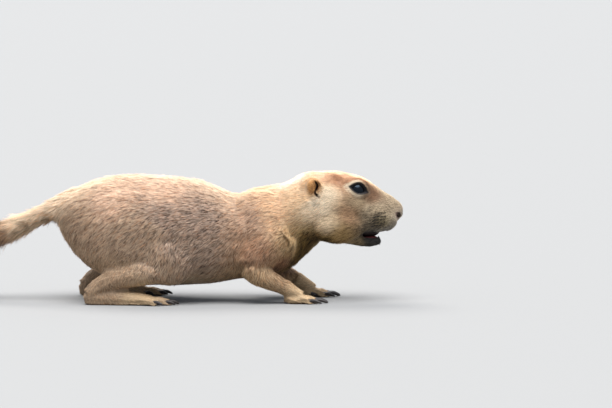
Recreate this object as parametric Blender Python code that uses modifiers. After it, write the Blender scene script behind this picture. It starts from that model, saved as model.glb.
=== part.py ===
"""A black-tailed prairie dog, life size, crouched on all fours with its neck stretched forward.

The animal looks along +X, its left side is +Y, and its soles stand on the plane Z = 0.
Lengths in the tables are millimetres, and are turned into metres when a form is made.
The whole animal is modelled as overlapping forms that are fused into one skin. Thin cuts
then part that skin into the head, neck, trunk, limbs, feet, ears and tail.
"""

import math
import random

import bmesh
import bpy
from mathutils import Matrix, Vector

MM = 0.001
GAP = 0.3            # left between two nodes that meet, in millimetres
SIDES = {"right": -1, "left": 1}

# Driving sizes of an adult, in millimetres
BACK_HEIGHT = 87.8
NOSE_X, NOSE_HEIGHT = 114.2, 61.9
EYE_RADIUS = 6.4
EYE = Vector((81.6, 12.3, 77.6))
EYE_TURN_FORWARD, EYE_TURN_UP = 14, 12      # degrees, away from straight out to the side
EYE_SLIT_LENGTH, EYE_SLIT_TILT = 12.0, 17
EAR = Vector((53.4, 20.0, 79.6))
MOUTH_CORNER = Vector((83.6, 0, 46.9))
TAIL_ROOT = (-110, 72.8)
TAIL_LENGTH, TAIL_DROOP = 92, 25
TAIL_SWING, TAIL_SAG = 13, 1.5
BRUSH_START, BRUSH_END = 0.36, 0.92         # shares of the tail's length
BRUSH_RINGS, LOCK_LENGTH = 5, 22
FRONT_CLAW, HIND_CLAW = 8.5, 6.5
STEP_AHEAD = {"right": 0, "left": 9}         # how far the left forefoot stands ahead
HIND_STEP = {"right": 0, "left": -7}
HEAD_TRIANGLES, BODY_TRIANGLES = 2500, 2800
FOREFOOT_TRIANGLES, HINDFOOT_TRIANGLES = 420, 500

FUR_COLOUR = (0.62, 0.46, 0.33)
SOLE_COLOUR = (0.20, 0.15, 0.12)
TONGUE_COLOUR = (0.45, 0.10, 0.09)
EYE_COLOUR = (0.010, 0.008, 0.008)
TAIL_COLOUR = (0.30, 0.22, 0.16)

# The rings of the trunk and neck: x, top, belly, half width, height of the widest point
TRUNK = [
    (-130, 70.0, 60, 4, 65),
    (-125, 73.6, 47, 15, 61),
    (-115, 78.8, 32, 27.5, 55),
    (-102, 84.4, 21, 36, 50),
    (-86, 87.8, 14, 41, 45),
    (-66, BACK_HEIGHT + 0.4, 11, 43, 42),
    (-46, 87.0, 10.5, 42.5, 41),
    (-29, 84.6, 11, 40, 41),
    (-18, 80.8, 12, 37, 41),
    (-8, 76.8, 13.5, 33.5, 42),
    (1, 75.4, 15, 31.5, 44),
    (11, 79.0, 16.5, 30, 47),
    (21, 81.0, 18, 29, 51),
    (31, 82.6, 20, 27.5, 55),
    (39, 86.4, 24.5, 26, 59),
    (46, 89.4, 31, 24.5, 62),
    (53, 90.6, 38, 23.5, 64),
    (60, 90, 44, 20, 66),
    (68, 86.0, 52, 15, 68),
]
NECK_RINGS = TRUNK[10:]

# The rings of the skull and upper jaw
HEAD = [
    (38, 83.0, 54, 14, 68),
    (46, 88.4, 46, 20.5, 66),
    (53, 90.1, 42, 24.0, 65),
    (60, 90.7, 40.8, 25.2, 64),
    (68, 90.5, 40.4, 25.0, 63),
    (75, 89.4, 41.2, 23.4, 62.5),
    (81, 87.9, 43.4, 21.2, 62),
    (86, 86.1, 45.9, 18.9, 61.5),
    (91, 83.4, 47.0, 16.6, 61),
    (96, 79.6, 47.3, 14.4, 60.5),
    (101, 76.2, 48.6, 12.6, 60),
    (105.5, 73.7, 51.2, 11.0, 60.2),
    (109.4, 70.8, 54.8, 9.0, 61),
    (112.6, 67.8, 57.8, 6.6, 62),
    (NOSE_X, 65.2, 60.0, 3.0, NOSE_HEIGHT + 0.6),
]

LOWER_JAW = [
    (58, 54, 45, 9, 49),
    (66, 53, 41.0, 13.0, 47),
    (74, 52, 39.6, 13.6, 45.5),
    (80, 50, 38.8, 12.0, 44.5),
    (86, 47.2, 37.6, 9.6, 42.6),
    (91, 45.4, 37.4, 8.0, 41.6),
    (95.4, 45.0, 38.4, 6.2, 41.6),
    (98.8, 43.8, 39.8, 3.2, 41.8),
]


def clear_scene():
    for obj in list(bpy.data.objects):
        bpy.data.objects.remove(obj)


def material(name, colour, roughness):
    made = bpy.data.materials.new(name)
    made.use_nodes = True
    shader = made.node_tree.nodes["Principled BSDF"]
    shader.inputs["Base Color"].default_value = (*colour, 1)
    shader.inputs["Roughness"].default_value = roughness
    return made


def new_object(name, mesh, matrix=None):
    obj = bpy.data.objects.new(name, mesh)
    bpy.context.scene.collection.objects.link(obj)
    if matrix is not None:
        obj.matrix_world = matrix
    return obj


def drop(*objects):
    for obj in objects:
        bpy.data.objects.remove(obj)


def bake_modifiers(obj):
    """Puts the shape that the modifiers give into the object's own mesh."""
    bpy.context.view_layer.update()
    graph = bpy.context.evaluated_depsgraph_get()
    made = bpy.data.meshes.new_from_object(obj.evaluated_get(graph))
    obj.modifiers.clear()
    obj.data = made
    return obj


def blended(rows, steps):
    """The rows with more between them, on a smooth curve through each column."""
    found = []
    last = len(rows) - 1
    for i in range(last):
        before, a, b, after = (rows[max(0, i - 1)], rows[i], rows[i + 1], rows[min(last, i + 2)])
        for k in range(steps):
            t = k / steps
            found.append([
                0.5 * (2 * q + (r - p) * t + (2 * p - 5 * q + 4 * r - s) * t * t
                       + (3 * q - p - 3 * r + s) * t ** 3)
                for p, q, r, s in zip(before, a, b, after)
            ])
    found.append(list(rows[-1]))
    return found


def loft(name, rings):
    """A closed tube through rings of points, with both ends filled."""
    made = bmesh.new()
    rows = [[made.verts.new(point * MM) for point in ring] for ring in rings]
    count = len(rows[0])
    for low, high in zip(rows, rows[1:]):
        for i in range(count):
            j = (i + 1) % count
            made.faces.new((low[i], low[j], high[j], high[i]))
    made.faces.new(list(reversed(rows[0])))
    made.faces.new(rows[-1])
    bmesh.ops.triangulate(made, faces=[f for f in made.faces if len(f.verts) > 4])
    bmesh.ops.recalc_face_normals(made, faces=made.faces)
    mesh = bpy.data.meshes.new(name)
    made.to_mesh(mesh)
    made.free()
    return new_object(name, mesh)


def body_rings(rows, squareness=2.2, steps=3, count=32):
    """Upright rings for a table of x, top, bottom, half width and height of the widest point."""
    rings = []
    for x, top, bottom, half_width, widest in blended(rows, steps):
        ring = []
        for i in range(count):
            turn = 2 * math.pi * i / count
            side, rise = math.cos(turn), math.sin(turn)
            side = math.copysign(abs(side) ** (2 / squareness), side)
            rise = math.copysign(abs(rise) ** (2 / squareness), rise)
            reach = top - widest if rise > 0 else widest - bottom
            ring.append(Vector((x, half_width * side, widest + reach * rise)))
        rings.append(ring)
    return rings


def sweep(name, path, widths, heights, up=Vector((0, 0, 1)), count=12, steps=3):
    """A rounded limb along a path. Its rings lie across the path, with half widths and half heights."""
    rows = blended([(*p, w, h) for p, w, h in zip(path, widths, heights)], steps)
    points = [Vector(row[:3]) for row in rows]
    rings = []
    for i, (point, row) in enumerate(zip(points, rows)):
        along = (points[min(i + 1, len(points) - 1)] - points[max(i - 1, 0)]).normalized()
        side = along.cross(up).normalized()
        lift = side.cross(along)
        rings.append([
            point + side * row[3] * math.cos(2 * math.pi * k / count)
            + lift * row[4] * math.sin(2 * math.pi * k / count)
            for k in range(count)
        ])
    return loft(name, rings)


def ellipsoid(name, centre, radii, tilt=(0, 0, 0), segments=24, rings=14):
    """A ball stretched to three radii, turned by angles in degrees about X, Y and Z."""
    made = bmesh.new()
    bmesh.ops.create_uvsphere(made, u_segments=segments, v_segments=rings, radius=1)
    turn = Matrix.Identity(4)
    for angle, axis in zip(tilt, "XYZ"):
        turn = Matrix.Rotation(math.radians(angle), 4, axis) @ turn
    size = Matrix.Diagonal((*[r * MM for r in radii], 1))
    made.transform(Matrix.Translation(Vector(centre) * MM) @ turn @ size)
    mesh = bpy.data.meshes.new(name)
    made.to_mesh(mesh)
    made.free()
    return new_object(name, mesh)


def box(name, low, high):
    """An upright box between two corners."""
    made = bmesh.new()
    bmesh.ops.create_cube(made, size=1)
    low, high = Vector(low) * MM, Vector(high) * MM
    size = Matrix.Diagonal((*(high - low), 1))
    made.transform(Matrix.Translation((low + high) / 2) @ size)
    mesh = bpy.data.meshes.new(name)
    made.to_mesh(mesh)
    made.free()
    return new_object(name, mesh)


def prism(name, outline, half_width):
    """A side view outline of x and z, stretched across Y."""
    return loft(name, [
        [Vector((x, y, z)) for x, z in outline] for y in (-half_width, half_width)
    ])


def boolean(obj, operation, other, solver="EXACT"):
    """Cuts, joins or keeps what is common, and removes the other object."""
    step = obj.modifiers.new(operation.lower(), "BOOLEAN")
    step.operation = operation
    step.solver = solver
    step.object = other
    bake_modifiers(obj)
    drop(other)
    return obj


def keep_largest(obj):
    """Drops loose scraps, so that one closed surface is left."""
    made = bmesh.new()
    made.from_mesh(obj.data)
    unseen = set(made.verts)
    groups = []
    while unseen:
        todo = [unseen.pop()]
        group = set(todo)
        while todo:
            for edge in todo.pop().link_edges:
                for vert in edge.verts:
                    if vert in unseen:
                        unseen.discard(vert)
                        group.add(vert)
                        todo.append(vert)
        groups.append(group)
    groups.sort(key=len)
    for group in groups[:-1]:
        bmesh.ops.delete(made, geom=list(group), context="VERTS")
    made.to_mesh(obj.data)
    made.free()
    return obj


def fuse(name, pieces, voxel, softness, triangles):
    """One smooth closed skin round overlapping pieces, thinned to about so many triangles."""
    made = bmesh.new()
    for piece in pieces:
        made.from_mesh(piece.data)
    drop(*pieces)
    mesh = bpy.data.meshes.new(name)
    made.to_mesh(mesh)
    made.free()
    obj = new_object(name, mesh)
    skin = obj.modifiers.new("skin", "REMESH")
    skin.mode = "VOXEL"
    skin.voxel_size = voxel * MM
    soft = obj.modifiers.new("soften", "SMOOTH")
    soft.factor = 0.5
    soft.iterations = max(1, round((softness / voxel) ** 2))
    bake_modifiers(obj)
    whole = keep_largest(obj)
    count = sum(len(face.vertices) - 2 for face in whole.data.polygons)
    thin = whole.modifiers.new("thin", "DECIMATE")
    thin.ratio = min(1, triangles / count)
    thin.use_collapse_triangulate = True
    return bake_modifiers(whole)


def part_off(whole, name, region):
    """Takes the share of the whole that lies in a region as a node, and leaves a gap round it.

    region is a function that makes the cutter, grown outwards by a given number of millimetres.
    """
    piece = new_object(name, whole.data.copy())
    keep_largest(boolean(piece, "INTERSECT", region(0)))
    boolean(whole, "DIFFERENCE", region(GAP))
    return piece


def mirrored(point, side):
    return Vector((point[0], point[1] * side, point[2]))


def arm_form(name, side):
    """The foreleg from the shoulder down to the wrist."""
    ahead = STEP_AHEAD[name]
    path = [
        (30 + ahead * 0.3, 20, 47), (18 + ahead * 0.4, 26, 37), (8 + ahead * 0.6, 29.5, 28),
        (15 + ahead * 0.8, 30, 19.5), (29 + ahead, 28, 12.5), (37 + ahead, 27.2, 8.0),
        (43 + ahead, 27.2, 5.6),
    ]
    return sweep("arm", [mirrored(p, side) for p in path],
                 (13, 12.5, 10.5, 8.8, 6.9, 6.9, 6.6), (14, 13, 11, 8.6, 6.2, 5.0, 3.6))


def shank_form(name, side):
    """The hind leg from the knee back to the heel."""
    hind = HIND_STEP[name]
    return sweep("shank", [mirrored(p, side) for p in [
        (-50 + hind, 37, 25), (-69 + hind, 38, 21.5), (-86 + hind, 37.4, 17.5),
        (-98 + hind, 36.4, 12.5), (-104 + hind, 36, 7.0)]],
        (9, 9.5, 8, 6.4, 5.2), (9.5, 9, 7.4, 6.4, 5.2))


def limb_forms():
    """Shoulders, haunches and the legs."""
    forms = []
    for name, side in SIDES.items():
        hind = HIND_STEP[name]
        forms += [
            ellipsoid("shoulder", mirrored((17, 15, 50), side), (27, 16, 29), (0, -18, 0)),
            ellipsoid("haunch", mirrored((-74 + hind, 27, 46), side), (39, 18.5, 33), (0, 14, 0)),
            ellipsoid("knee", mirrored((-51 + hind, 35, 31), side), (21, 11.5, 18), (0, 20, 0)),
            arm_form(name, side),
            shank_form(name, side),
        ]
    return forms


def head_forms():
    """Skull, cheeks, brows, whisker pads and lower jaw."""
    forms = [
        loft("skull", body_rings(HEAD)),
        loft("jaw", body_rings(LOWER_JAW)),
    ]
    for side in SIDES.values():
        forms += [
            ellipsoid("cheek", mirrored((67, 13.5, 55), side), (20, 13.0, 14.5), (0, 6, 0)),
            ellipsoid("cheekbone", mirrored((77, 11.6, 67), side), (17, 10.4, 10), (0, 20, 0)),
            ellipsoid("brow", mirrored((77, 10.6, 80.4), side), (15, 7.4, 6.2), (0, 14, 0)),
            ellipsoid("whisker_pad", mirrored((99.5, 6.8, 56.0), side), (11, 7.6, 8.2), (0, -10, 0)),
            ellipsoid("eye_mound", mirrored(EYE, side), (9.2, 8.3, 8.3)),
            ellipsoid("ear_base", mirrored((51, 16.5, 79.0), side), (9, 5.0, 8.6), (0, 0, 0)),
        ]
    return forms


def tail_point(t):
    """A point on the tail's middle line: it leaves the rump, droops and swings a little to the left."""
    droop = math.radians(TAIL_DROOP)
    reach = t * TAIL_LENGTH
    x, z = TAIL_ROOT
    sag = TAIL_SAG * t ** 2
    return Vector((x - reach * math.cos(droop), TAIL_SWING * t ** 2, z - reach * math.sin(droop) - sag))


def tail_forms():
    """The core of the tail, which the locks of its brush grow from."""
    steps = (0, 0.15, 0.32, 0.5, 0.68, 0.84, 0.95)
    return [sweep("tail", [tail_point(t) for t in steps],
                  (11, 11, 10, 8.2, 6.0, 4.4, 1.6), (9.0, 8.8, 7.8, 6.0, 4.4, 3.2, 1.2))]


def tail_locks():
    """The brush: flat tapered locks in rings, which lie back along the tail and bend in at their tips."""
    rng = random.Random(7)
    locks = []
    for ring in range(BRUSH_RINGS):
        share = ring / (BRUSH_RINGS - 1)
        t = BRUSH_START + (BRUSH_END - BRUSH_START) * share
        along = (tail_point(t + 0.05) - tail_point(t - 0.05)).normalized()
        side = along.cross(Vector((0, 0, 1))).normalized()
        lift = side.cross(along)
        root_width = 4.7 * (1 - 0.62 * share)
        root_height = 3.5 * (1 - 0.62 * share)
        around = 6 if ring < BRUSH_RINGS - 1 else 4
        for k in range(around):
            turn = 2 * math.pi * (k + 0.5 * (ring % 2) + rng.uniform(-0.12, 0.12)) / around
            out = (side * math.cos(turn) * 1.25 + lift * math.sin(turn)).normalized()
            root = tail_point(t) + side * root_width * math.cos(turn) + lift * root_height * math.sin(turn)
            length = LOCK_LENGTH * rng.uniform(0.88, 1.1)
            path = [
                root + (along * reach + out * rise) * length
                for reach, rise in ((0, 0), (0.36, 0.135), (0.72, 0.185), (1, 0.165))
            ]
            locks.append(sweep("lock", path, (1.6, 3.4, 2.6, 0.4), (0.9, 1.0, 0.7, 0.25),
                               up=out, count=4, steps=1))
    return locks


def eye_frame(side):
    """Turns a form that looks along +Y at the origin to look out of the eye's place."""
    turn = Matrix.Rotation(math.radians(-EYE_TURN_FORWARD * side), 4, "Z")
    turn = turn @ Matrix.Rotation(math.radians(EYE_TURN_UP * side), 4, "X")
    return Matrix.Translation(mirrored(EYE, side) * MM) @ turn


def eye_ball(name, side, radius):
    made = bmesh.new()
    bmesh.ops.create_uvsphere(made, u_segments=16, v_segments=10, radius=radius * MM)
    made.transform(eye_frame(side))
    mesh = bpy.data.meshes.new(name)
    made.to_mesh(mesh)
    made.free()
    return new_object(name, mesh)


def eye_slit(side):
    """The almond between the lids, stretched outwards: a high arc above, a flat one below."""
    tilt = math.radians(EYE_SLIT_TILT)
    outline = []
    steps = 7
    for rise in (4.6, -3.2):
        for i in range(steps):
            t = i / steps if rise > 0 else 1 - i / steps
            along = (t - 0.5) * EYE_SLIT_LENGTH
            lift = rise * math.sin(math.pi * t) ** 0.85
            outline.append((along, lift))
    turned = [
        Vector((x * math.cos(tilt) + z * math.sin(tilt), 0, z * math.cos(tilt) - x * math.sin(tilt)))
        for x, z in outline
    ]
    reach = 14
    cutter = loft("eye_slit", [
        [p + Vector((0, side * y, 0)) for p in turned] for y in (1.5, reach)
    ])
    cutter.data.transform(eye_frame(side))
    return cutter


def carve_eyes(head):
    for side in SIDES.values():
        boolean(head, "UNION", eye_ball("lid", side, EYE_RADIUS + 0.8))
        boolean(head, "DIFFERENCE", eye_slit(side))
        boolean(head, "DIFFERENCE", eye_ball("socket", side, EYE_RADIUS + GAP))


def carve_nose(head):
    """The comma shaped nostrils, and the cleft that runs from them down the upper lip."""
    for side in SIDES.values():
        pit = ellipsoid("nostril", mirrored((110.6, 6.0, 60.4), side), (1.9, 3.2, 1.5),
                        (0, 24, side * 24), 10, 6)
        boolean(head, "DIFFERENCE", pit)
        wing = ellipsoid("nostril_wing", mirrored((108.6, 8.2, 61.6), side), (1.8, 1.6, 0.8),
                         (0, -30, side * 10), 8, 5)
        boolean(head, "DIFFERENCE", wing)
    path = [Vector(p) for p in ((114.2, 0, 59.4), (111.6, 0, 56.6), (108.2, 0, 52.6), (104.6, 0, 49.4))]
    cleft = sweep("cleft", path, (0.5, 0.6, 0.6, 0.6), (1.0, 1.3, 1.3, 1.2),
                  up=Vector((1, 0, -1)), count=6, steps=2)
    boolean(head, "DIFFERENCE", cleft)


def carve_mouth(head):
    """The gap between the parted lips, with a hollow for the tongue behind it."""
    x, z = MOUTH_CORNER.x, MOUTH_CORNER.z
    gap = prism("mouth_gap", [
        (x, z), (x + 4, z - 2.0), (x + 8, z - 2.9), (x + 12, z - 2.6), (x + 20, z - 2.2),
        (x + 20, z + 2.6), (x + 12, z + 0.9), (x + 5, z + 0.9)], 30)
    boolean(head, "DIFFERENCE", gap)
    boolean(head, "DIFFERENCE", ellipsoid("mouth_hollow", (90, 0, 46.2), (8.6, 6.2, 3.8), (0, 0, 0), 12, 8))


def tongue(name, grow=0):
    return ellipsoid(name, (89.6, 0, 43.6), (6.8 + grow, 3.8 + grow, 1.9 + grow), (0, 0, 0), 12, 8)


def incisors(name, root, tip, half_width):
    """A pair of gnawing teeth, side by side, from root to tip."""
    bend = (Vector(root) + Vector(tip)) / 2 + Vector((0.8, 0, 0))
    return sweep(name, [Vector(root), bend, Vector(tip)], (half_width, half_width, half_width * 0.9),
                 (1.3, 1.2, 0.5), up=Vector((1, 0, 0)), count=8, steps=2)


def ear_cup(head):
    """Raises a low rounded ear on each side of the head, with a cup that opens sideways."""
    for side in SIDES.values():
        at = mirrored(EAR, side)
        out = Vector((0, side, 0))
        shell = ellipsoid("ear", at + out * 1.0 + Vector((-1.2, 0, 0.4)), (5.2, 3.5, 6.6),
                          (side * -10, 0, side * 16), 14, 9)
        boolean(head, "UNION", shell)
        tragus = ellipsoid("tragus", at + out * 0.6 + Vector((3.8, 0, -1.4)), (2.6, 2.4, 4.4),
                           segments=10, rings=6)
        boolean(head, "UNION", tragus)
        cup = ellipsoid("cup", at + out * 4.2 + Vector((1.0, 0, 0.2)), (3.0, 4.0, 4.9),
                        (side * -10, -8, side * 16), 12, 8)
        boolean(head, "DIFFERENCE", cup)
        canal = ellipsoid("canal", at + out * 0.3 + Vector((1.6, 0, -1.6)), (1.4, 4.4, 2.4),
                          (0, -20, 0), 8, 6)
        boolean(head, "DIFFERENCE", canal)


def toe_and_claw(root, tip, radius, claw, claw_drop):
    """A toe that ends in a curved claw, as two forms."""
    root, tip = Vector(root), Vector(tip)
    along = (tip - root)
    along.z = 0
    along.normalize()
    knuckle = (root + tip) / 2 + Vector((0, 0, radius * 0.35))
    toe = sweep("toe", [root, knuckle, tip, tip + along * radius * 0.8],
                (radius, radius * 1.02, radius * 0.9, radius * 0.35),
                (radius, radius * 1.05, radius * 0.88, radius * 0.35), count=10, steps=3)
    start = tip - along * 0.6 + Vector((0, 0, radius * 0.25))
    nail = sweep("claw", [
        start,
        start + along * claw * 0.45 + Vector((0, 0, 0.1)),
        start + along * claw * 0.8 - Vector((0, 0, claw_drop * 0.45)),
        start + along * (claw + 0.6) - Vector((0, 0, claw_drop))],
        (1.15, 1.0, 0.7, 0.22), (1.35, 1.15, 0.8, 0.24), count=5, steps=1)
    return toe, nail


def floor_cut(obj):
    """Leaves the soles flat and level."""
    return boolean(obj, "DIFFERENCE", box("floor", (-400, -400, -60), (400, 400, 0)))


def union_all(first, others):
    """One union of a form with a group of closed forms, which are then removed."""
    group = bpy.data.collections.new("joined")
    for other in others:
        group.objects.link(other)
    step = first.modifiers.new("union", "BOOLEAN")
    step.operation = "UNION"
    step.operand_type = "COLLECTION"
    step.collection = group
    bake_modifiers(first)
    drop(*others)
    bpy.data.collections.remove(group)
    return first


def forefoot(name, side, wrist):
    """The forefoot with four long toes, a thumb and their claws."""
    ahead = STEP_AHEAD[name]
    y = 27.2
    forms = [
        arm_form(name, side),
        ellipsoid("palm", mirrored((39 + ahead, y, 2.9), side), (9, 8.0, 3.8), (0, 6, 0)),
    ]
    claws = []
    spread = ((-6.1, 40.5, 49.5), (-2.1, 42, 53.0), (2.1, 42, 53.0), (6.1, 40.5, 49.0))
    for offset, root_x, tip_x in spread:
        toe, nail = toe_and_claw(
            mirrored((root_x + ahead, y + offset * 0.86, 3.6), side),
            mirrored((tip_x + ahead, y + offset * 1.22, 1.8), side), 2.35, FRONT_CLAW, 1.6)
        forms.append(toe)
        claws.append(nail)
    toe, nail = toe_and_claw(mirrored((36 + ahead, y - 6.0, 3.6), side),
                             mirrored((41 + ahead, y - 7.6, 1.8), side), 1.9, 3.5, 0.8)
    forms.append(toe)
    claws.append(nail)
    foot = fuse("forefoot_" + name, forms, 0.7, 0.8, FOREFOOT_TRIANGLES)
    boolean(foot, "INTERSECT", wrist(0))
    return floor_cut(union_all(keep_largest(foot), claws))


def hindfoot(name, side, ankle):
    """The long flat hind foot with five toes and their claws."""
    hind = HIND_STEP[name]
    y = 37.5
    forms = [
        sweep("sole", [mirrored(p, side) for p in [
            (-108 + hind, 36, 4.6), (-103 + hind, 36, 5.0), (-94 + hind, 36.4, 5.2), (-82 + hind, y, 4.6),
            (-70 + hind, y + 0.4, 3.9), (-62 + hind, y + 0.6, 3.0), (-58 + hind, y + 0.6, 2.6)]],
            (2.6, 5.2, 5.6, 6.8, 8.0, 7.4, 5.0), (3.0, 6.0, 6.2, 5.6, 4.9, 3.9, 2.4)),
        shank_form(name, side),
    ]
    claws = []
    toes = ((-7.6, -68, -60.5), (-4.0, -62, -51.0), (0, -61, -48.0), (4.0, -62, -50.5), (7.6, -67, -58.5))
    for offset, root_x, tip_x in toes:
        toe, nail = toe_and_claw(
            mirrored((root_x + hind, y + 0.6 + offset * 0.84, 3.4), side),
            mirrored((tip_x + hind, y + 1.2 + offset * 1.2, 1.8), side), 2.4, HIND_CLAW, 1.5)
        forms.append(toe)
        claws.append(nail)
    foot = fuse("hindfoot_" + name, forms, 0.8, 0.9, HINDFOOT_TRIANGLES)
    boolean(foot, "INTERSECT", ankle(0))
    return floor_cut(union_all(keep_largest(foot), claws))


def beyond(point, normal):
    """The region past a plane, as a maker of cutters that can be grown."""
    def region(grow):
        cutter = box("beyond", (-300, -300, 0), (300, 300, 600))
        turn = Vector(normal).to_track_quat("Z", "Y").to_matrix().to_4x4()
        start = Vector(point) - Vector(normal).normalized() * grow
        cutter.data.transform(Matrix.Translation(start * MM) @ turn)
        return cutter
    return region


def within(centre, radii, tilt=(0, 0, 0), segments=28, rings=16):
    """The region inside a stretched ball, as a maker of cutters that can be grown."""
    def region(grow):
        return ellipsoid("within", centre, [r + grow for r in radii], tilt, segments, rings)
    return region


def paint(nodes):
    """Gives every node its own material."""
    fur = material("fur", FUR_COLOUR, 0.9)
    tail_fur = material("tail_fur", TAIL_COLOUR, 0.9)
    eye = material("eye", EYE_COLOUR, 0.05)
    flesh = material("tongue", TONGUE_COLOUR, 0.4)
    for name, obj in nodes.items():
        finish = fur
        if name.startswith("eye"):
            finish = eye
        elif name == "tongue":
            finish = flesh
        elif name == "tail":
            finish = tail_fur
        obj.data.materials.clear()
        obj.data.materials.append(finish)


def head_nodes():
    """The head with its lips, lids, nostrils and ear cups, and the nodes parted from it."""
    head = fuse("head", head_forms() + [loft("neck", body_rings(NECK_RINGS))], 0.9, 2.4, HEAD_TRIANGLES)
    boolean(head, "INTERSECT", HEAD_REGION(0))
    carve_mouth(head)
    carve_eyes(head)
    carve_nose(head)
    ear_cup(head)
    nodes = {"head": head}
    nodes["lower_jaw"] = part_off(head, "lower_jaw", JAW_REGION)
    nodes["nose"] = part_off(head, "nose", NOSE_REGION)
    for name, side in SIDES.items():
        region = within(mirrored(EAR + Vector((0, 5.0, 0)), side), (8.6, 8.4, 9.0), (0, 0, 0), 16, 10)
        nodes["ear_" + name] = part_off(head, "ear_" + name, region)
        nodes["eye_" + name] = eye_ball("eye_" + name, side, EYE_RADIUS)
    boolean(head, "UNION", incisors("upper_teeth", (100.2, 0, 53), (98.8, 0, 48.2), 1.9))
    jaw = nodes["lower_jaw"]
    boolean(jaw, "UNION", incisors("lower_teeth", (94.2, 0, 39.4), (97.0, 0, 45.2), 1.7))
    boolean(jaw, "DIFFERENCE", tongue("seat", GAP))
    nodes["tongue"] = tongue("tongue")
    for name in ("head", "lower_jaw"):
        keep_largest(nodes[name])
    return nodes


def body_nodes():
    """The neck, trunk, legs and tail, parted from one skin."""
    forms = [loft("trunk", body_rings(TRUNK))] + head_forms() + limb_forms() + tail_forms()
    body = fuse("body", forms, 1.8, 4.6, BODY_TRIANGLES)
    boolean(body, "DIFFERENCE", HEAD_REGION(GAP))
    floor_cut(body)
    nodes = {"tail": part_off(body, "tail", TAIL_REGION)}
    union_all(nodes["tail"], tail_locks())
    for name, side in SIDES.items():
        ahead, hind = STEP_AHEAD[name], HIND_STEP[name]
        wrist = beyond((30 + ahead, 0, 12.5), (0.87, 0, -0.5))
        ankle = beyond((-95 + hind, 0, 12), (0, 0, -1))
        arm = part_off(body, "foreleg_" + name, within(
            mirrored((17 + ahead * 0.6, 39, 28), side), (31, 19, 34)))
        leg = part_off(body, "hindleg_" + name, within(
            mirrored((-73 + hind, 46, 30), side), (52, 20, 40)))
        boolean(arm, "DIFFERENCE", wrist(GAP))
        boolean(leg, "DIFFERENCE", ankle(GAP))
        nodes["foreleg_" + name] = arm
        nodes["hindleg_" + name] = leg
        nodes["forefoot_" + name] = forefoot(name, side, wrist)
        nodes["hindfoot_" + name] = hindfoot(name, side, ankle)
    nodes["neck"] = part_off(body, "neck", NECK_REGION)
    nodes["chest"] = part_off(body, "chest", CHEST_REGION)
    nodes["rump"] = part_off(body, "rump", RUMP_REGION)
    nodes["belly"] = body
    for obj in nodes.values():
        keep_largest(obj)
    return nodes


def set_origin(nodes):
    """Moves the animal so that the middle of its box stands on the origin, soles down."""
    corners = [vert.co for obj in nodes.values() for vert in obj.data.vertices]
    low = [min(corner[k] for corner in corners) for k in range(3)]
    high = [max(corner[k] for corner in corners) for k in range(3)]
    shift = Vector((-(low[0] + high[0]) / 2, -(low[1] + high[1]) / 2, -low[2]))
    for obj in nodes.values():
        obj.data.transform(Matrix.Translation(shift))


def build():
    clear_scene()
    nodes = {**head_nodes(), **body_nodes()}
    set_origin(nodes)
    paint(nodes)
    for name, obj in nodes.items():
        obj.name = name
        obj.data.name = name


HEAD_REGION = beyond((40, 0, 88), (0.945, 0, 0.328))
NOSE_REGION = within((113, 0, 62.5), (9, 12, 8), (0, 0, 0), 18, 10)
JAW_REGION = within((86, 0, 37.2), (22, 14, 9.6), (0, 0, 0), 20, 12)
NECK_REGION = beyond((8, 0, 78), (0.80, 0, 0.60))
CHEST_REGION = beyond((-28, 0, 0), (1, 0, 0))
RUMP_REGION = beyond((-86, 0, 0), (-1, 0, 0))
TAIL_REGION = within((-178, 4, 40.5), (64, 32, 22), (0, -TAIL_DROOP, 0))

build()
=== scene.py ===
import math

import bmesh
import bpy
import numpy as np
from mathutils import Matrix, Vector, kdtree
from mathutils.bvhtree import BVHTree


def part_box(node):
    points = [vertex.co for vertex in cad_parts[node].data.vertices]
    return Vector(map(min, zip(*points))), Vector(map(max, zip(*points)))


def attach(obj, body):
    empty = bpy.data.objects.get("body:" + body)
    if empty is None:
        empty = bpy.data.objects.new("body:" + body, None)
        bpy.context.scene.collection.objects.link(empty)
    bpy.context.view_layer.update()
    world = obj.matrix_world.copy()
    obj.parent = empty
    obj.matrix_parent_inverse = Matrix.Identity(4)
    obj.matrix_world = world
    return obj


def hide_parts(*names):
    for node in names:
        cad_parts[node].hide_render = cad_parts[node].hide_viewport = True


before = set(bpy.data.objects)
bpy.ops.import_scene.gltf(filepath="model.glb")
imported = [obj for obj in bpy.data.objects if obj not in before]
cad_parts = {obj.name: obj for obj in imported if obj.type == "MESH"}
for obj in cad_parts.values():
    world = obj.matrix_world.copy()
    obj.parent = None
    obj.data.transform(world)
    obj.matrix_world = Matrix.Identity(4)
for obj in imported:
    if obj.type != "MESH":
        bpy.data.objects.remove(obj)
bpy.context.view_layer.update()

# Drafting lengths are millimetres: x runs to the nose, y to the left side, z up from the soles
MM = 0.001
NOSE_X = 114.2
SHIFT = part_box("nose")[1].x / MM - NOSE_X
SIDES = {"right": -1, "left": 1}
FAR = 99.0                            # farther than any gap that is asked about

# The skin
VOXEL = 0.6
GROWTH = 0.45                         # closes the cuts between the solids
DRAW_IN, PUSH_OUT = 0.55, -0.57       # the two halves of a round of smoothing
SKIN_TRIANGLES = 170000

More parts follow.
